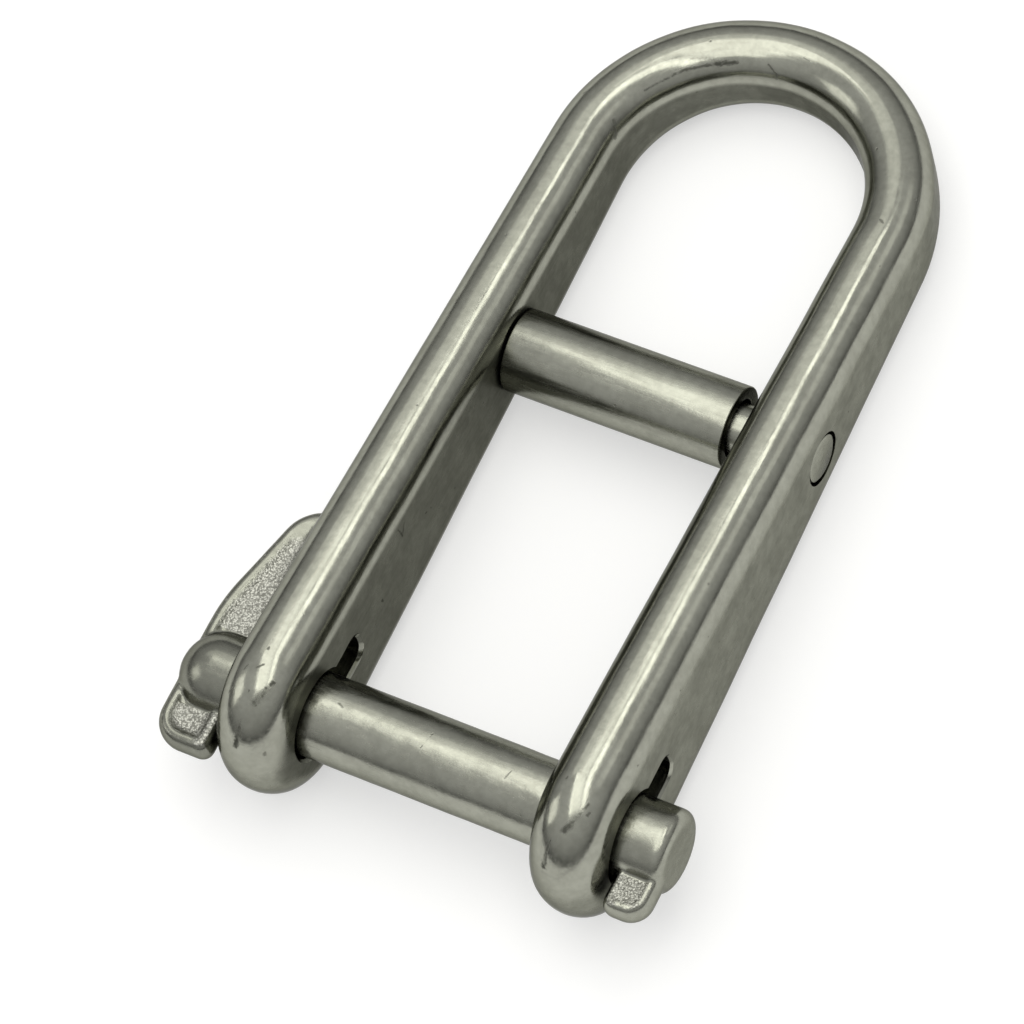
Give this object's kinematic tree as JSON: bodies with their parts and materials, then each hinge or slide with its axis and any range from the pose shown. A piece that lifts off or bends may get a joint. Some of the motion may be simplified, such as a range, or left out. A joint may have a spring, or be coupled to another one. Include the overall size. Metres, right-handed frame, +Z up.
{
  "type": "chain joining shackle",
  "caption": "Stainless joining shackle: a U-shaped bow closed by a turning key pin, with a fixed bar and loose sleeve across its legs to keep the two joined ends apart.",
  "frame": {"origin": "centre of the footprint at the resting surface: the shackle lies on the straight lower edges of its two legs", "axes": "+X along the pin toward its free end and key bit, +Y from the pin toward the crown of the bow, +Z up"},
  "size_m": [0.0504, 0.0882, 0.0189],
  "materials": {
    "bow_body": "tumble-polished stainless steel, brighter on the rounded edges than on the flat faces",
    "key_pin": "polished stainless casting with grit-blasted sunk panels",
    "bar_rivet": "plain drawn stainless rod, ends dressed flush",
    "bar_sleeve": "drawn stainless tube with fine lengthwise marks"
  },
  "bodies": {
    "shackle": {"bow_body": "bow_body", "bar_rivet": "bar_rivet"},
    "pin": {"key_pin": "key_pin"},
    "sleeve": {"bar_sleeve": "bar_sleeve"}
  },
  "joints": [
    {"name": "pin_turn", "type": "hinge", "parent": "shackle", "child": "pin", "pos_m": [0.00118, -0.03571, 0.00946], "axis": [1, 0, 0], "continuous": true},
    {"name": "sleeve_turn", "type": "hinge", "parent": "shackle", "child": "sleeve", "pos_m": [0.00118, 0.00431, 0.00689], "axis": [1, 0, 0], "continuous": true}
  ]
}
